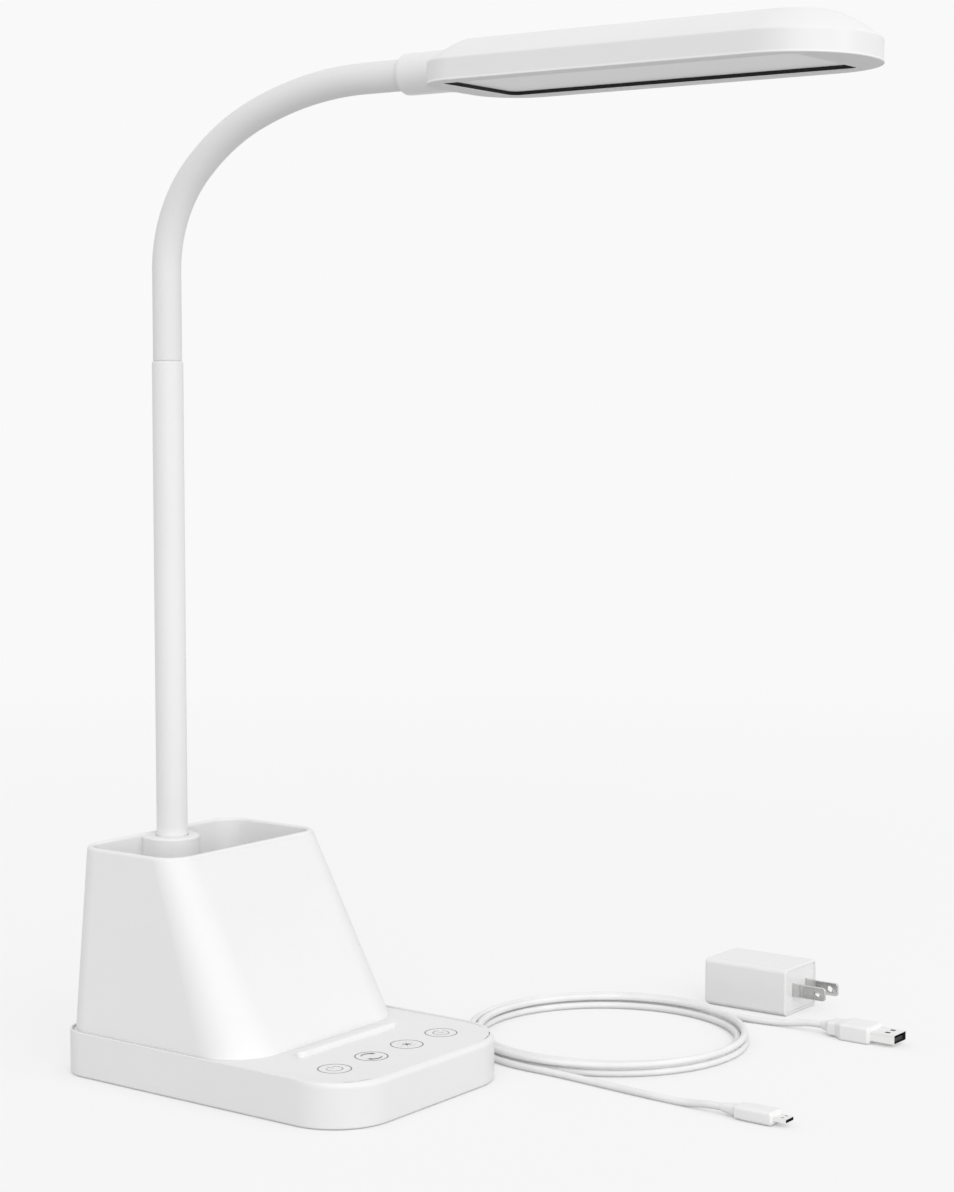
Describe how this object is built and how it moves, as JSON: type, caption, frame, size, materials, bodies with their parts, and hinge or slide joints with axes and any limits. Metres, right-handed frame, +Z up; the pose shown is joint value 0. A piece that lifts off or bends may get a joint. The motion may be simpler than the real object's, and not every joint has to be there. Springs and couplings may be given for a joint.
{
  "type": "desk lamp with pen cup and flexible neck",
  "caption": "Touch-key LED desk lamp: low rounded base with a pen cup and phone rest, rigid arm, flexible neck and flat rounded head, with a coiled USB lead and mains adapter.",
  "frame": {"origin": "on the table, under the centre of the base", "axes": "+Z up; -Y towards the head's tip and the touch keys, the lamp's front; the power set lies on the +X side"},
  "size_m": [0.307, 0.3634, 0.4375],
  "materials": {
    "body_white": "satin moulded white",
    "tube_white": "satin white powder coat",
    "neck_white": "smooth white sleeve",
    "stop_white": "soft white",
    "diffuser_white": "opal diffuser",
    "light_guide_clear": "clear acrylic",
    "circuit_board": "solder mask",
    "steel": "bare steel",
    "nickel": "nickel plate",
    "foot_rubber": "pale grey rubber",
    "wire_black": "black insulation",
    "lead_white": "soft white cable jacket",
    "adapter_white": "satin moulded white"
  },
  "bodies": {
    "stand": {"base_shell": "body_white", "bottom_cover": "body_white", "foot_front_left": "foot_rubber", "foot_front_right": "foot_rubber", "foot_rear_left": "foot_rubber", "foot_rear_right": "foot_rubber", "base_screw_1": "steel", "base_screw_2": "steel", "base_screw_3": "steel", "base_screw_4": "steel", "counterweight": "steel", "touch_board": "circuit_board", "touch_pad_1": "nickel", "touch_pad_2": "nickel", "touch_pad_3": "nickel", "touch_pad_4": "nickel", "power_board": "circuit_board", "power_inlet": "nickel", "phone_stop": "stop_white", "pen_cup": "body_white", "cup_screw_1": "steel", "cup_screw_2": "steel", "lower_tube": "tube_white", "arm_washer": "steel", "arm_nut": "steel", "neck_root": "neck_white", "arm_wire": "wire_black", "lead_coil": "lead_white", "lead_micro_tail": "lead_white", "lead_usb_tail": "lead_white", "micro_plug": "lead_white", "micro_plug_shell": "nickel", "usb_plug": "lead_white", "usb_plug_shell": "nickel", "adapter_case": "adapter_white", "adapter_face": "adapter_white", "adapter_blade_left": "nickel", "adapter_blade_right": "nickel", "adapter_port": "nickel"},
    "neck_1": {"neck_link_1": "neck_white"},
    "neck_2": {"neck_link_2": "neck_white"},
    "neck_3": {"neck_link_3": "neck_white"},
    "neck_4": {"neck_link_4": "neck_white"},
    "neck_5": {"neck_link_5": "neck_white"},
    "neck_6": {"neck_link_6": "neck_white"},
    "neck_7": {"neck_link_7": "neck_white"},
    "neck_8": {"neck_link_8": "neck_white"},
    "head": {"neck_tip": "neck_white", "head_frame": "body_white", "head_cover": "body_white", "head_collar": "body_white", "diffuser": "diffuser_white", "light_guide": "light_guide_clear", "led_board": "circuit_board", "head_wire": "wire_black"}
  },
  "joints": [
    {"name": "neck_bend_1", "type": "hinge", "parent": "stand", "child": "neck_1", "pos_m": [0, 0.0684, 0.325], "axis": [1, 0, 0], "range_deg": [-18, 8]},
    {"name": "neck_swing_1", "type": "hinge", "parent": "neck_1", "child": "neck_2", "pos_m": [0, 0.0684, 0.34847], "axis": [0, 1, 0], "range_deg": [-12, 12]},
    {"name": "neck_bend_2", "type": "hinge", "parent": "neck_2", "child": "neck_3", "pos_m": [0, 0.06542, 0.37163], "axis": [1, 0, 0], "range_deg": [-18, 8]},
    {"name": "neck_swing_2", "type": "hinge", "parent": "neck_3", "child": "neck_4", "pos_m": [0, 0.05396, 0.39194], "axis": [0, 0.7581, 0.6522], "range_deg": [-12, 12]},
    {"name": "neck_bend_3", "type": "hinge", "parent": "neck_4", "child": "neck_5", "pos_m": [0, 0.0362, 0.40719], "axis": [1, 0, 0], "range_deg": [-18, 8]},
    {"name": "neck_swing_3", "type": "hinge", "parent": "neck_5", "child": "neck_6", "pos_m": [0, 0.0154, 0.41795], "axis": [0, 0.3556, 0.9346], "range_deg": [-12, 12]},
    {"name": "neck_bend_4", "type": "hinge", "parent": "neck_6", "child": "neck_7", "pos_m": [0, -0.00707, 0.42468], "axis": [1, 0, 0], "range_deg": [-18, 8]},
    {"name": "neck_swing_4", "type": "hinge", "parent": "neck_7", "child": "neck_8", "pos_m": [0, -0.03025, 0.42827], "axis": [0, 0.0843, 0.9964], "range_deg": [-12, 12]},
    {"name": "neck_bend_5", "type": "hinge", "parent": "neck_8", "child": "head", "pos_m": [0, -0.0537, 0.4288], "axis": [1, 0, 0], "range_deg": [-18, 8]}
  ],
  "couplings": [
    {"joint": "neck_bend_2", "follows": "neck_bend_1", "ratio": 1},
    {"joint": "neck_bend_3", "follows": "neck_bend_1", "ratio": 1},
    {"joint": "neck_bend_4", "follows": "neck_bend_1", "ratio": 1},
    {"joint": "neck_bend_5", "follows": "neck_bend_1", "ratio": 1},
    {"joint": "neck_swing_2", "follows": "neck_swing_1", "ratio": 1},
    {"joint": "neck_swing_3", "follows": "neck_swing_1", "ratio": 1},
    {"joint": "neck_swing_4", "follows": "neck_swing_1", "ratio": 1}
  ]
}
